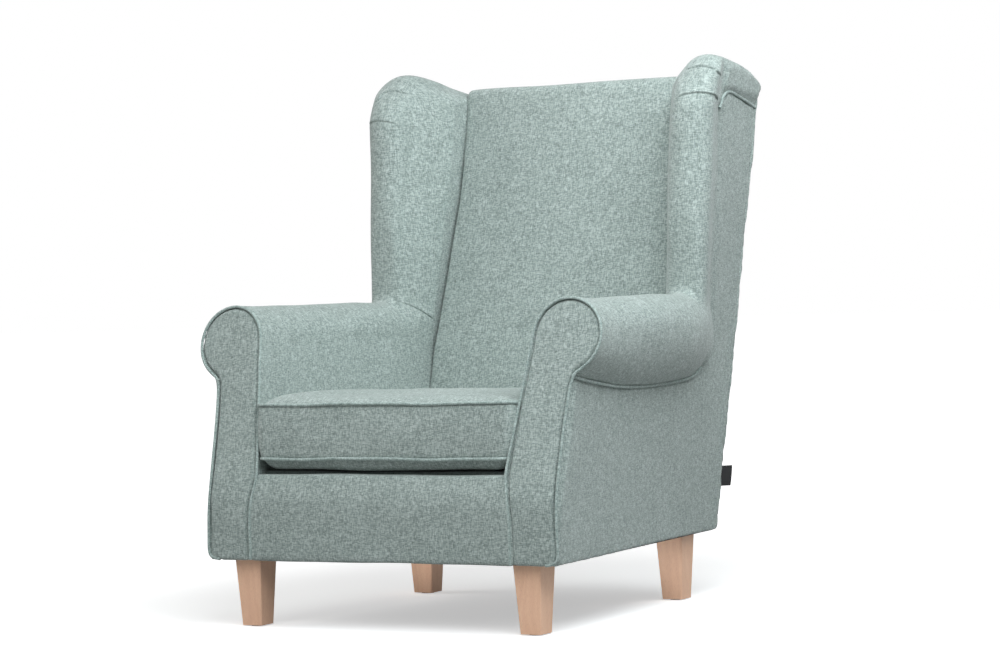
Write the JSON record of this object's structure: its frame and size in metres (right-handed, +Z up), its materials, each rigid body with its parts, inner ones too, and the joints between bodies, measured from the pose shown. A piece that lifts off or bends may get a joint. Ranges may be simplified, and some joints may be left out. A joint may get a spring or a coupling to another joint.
{
  "type": "upholstered wing armchair",
  "caption": "Upholstered wing armchair in grey green woven cloth, with scroll arms, piped edges, a loose seat cushion and tapered square beech legs",
  "frame": {"origin": "on the floor, below the middle of the chair's overall box", "axes": "+Z up, the chair faces -Y, +X is the sitter's left"},
  "size_m": [0.862, 0.912, 1.0507],
  "materials": {
    "sage_fabric": "woven melange upholstery cloth, grey green",
    "sage_welt": "self piping in the same cloth",
    "deck_cloth": "plain platform cloth over felt",
    "beech": "clear satin lacquer on steamed beech",
    "frame_wood": "unfinished hardwood",
    "spring_steel": "oiled spring steel",
    "zinc_steel": "zinc plated",
    "webbing": "elastic webbing",
    "foam": "foam in a fibre wrap",
    "dust_cloth": "non-woven bottoming cloth",
    "label_tape": "blank woven tape",
    "zip_tape": "woven zip tape and coil",
    "slider_metal": "nickel plated",
    "glide_plastic": "moulded nylon"
  },
  "bodies": {
    "chair": {"front_seat_rail": "frame_wood", "back_seat_rail": "frame_wood", "back_top_rail": "frame_wood", "back_lower_rail": "frame_wood", "corner_blocks": "frame_wood", "frame_dowels": "frame_wood", "seat_springs": "spring_steel", "spring_clips": "spring_steel", "back_webbing": "webbing", "seat_deck": "deck_cloth", "front_border": "sage_fabric", "back_pad": "sage_fabric", "outside_back": "sage_fabric", "dust_cover": "dust_cloth", "rear_label": "label_tape", "leg_bolts": "zinc_steel", "leg_tee_nuts": "zinc_steel", "leg_glides": "glide_plastic", "left_side_rail": "frame_wood", "right_side_rail": "frame_wood", "left_back_post": "frame_wood", "right_back_post": "frame_wood", "left_arm_post": "frame_wood", "right_arm_post": "frame_wood", "left_arm_rail": "frame_wood", "right_arm_rail": "frame_wood", "left_wing_board": "frame_wood", "right_wing_board": "frame_wood", "left_outside_panel": "sage_fabric", "right_outside_panel": "sage_fabric", "left_arm_pad": "sage_fabric", "right_arm_pad": "sage_fabric", "left_arm_facing": "sage_fabric", "right_arm_facing": "sage_fabric", "left_wing_pad": "sage_fabric", "right_wing_pad": "sage_fabric", "left_facing_piping": "sage_welt", "right_facing_piping": "sage_welt", "left_arm_piping": "sage_welt", "right_arm_piping": "sage_welt", "left_wing_piping": "sage_welt", "right_wing_piping": "sage_welt", "front_left_leg": "beech", "front_right_leg": "beech", "rear_left_leg": "beech", "rear_right_leg": "beech"},
    "cushion": {"cushion_cover": "sage_fabric", "cushion_core": "foam", "cushion_top_piping": "sage_welt", "cushion_bottom_piping": "sage_welt", "cushion_zip": "zip_tape"},
    "zip_slider": {"zip_slider": "slider_metal"}
  },
  "joints": [
    {"name": "cushion_lift", "type": "slide", "parent": "chair", "child": "cushion", "axis": [0, 0, 1], "range_m": [0, 0.35]},
    {"name": "zip_slide", "type": "slide", "parent": "cushion", "child": "zip_slider", "axis": [1, 0, 0], "range_m": [0, 0.332]}
  ]
}
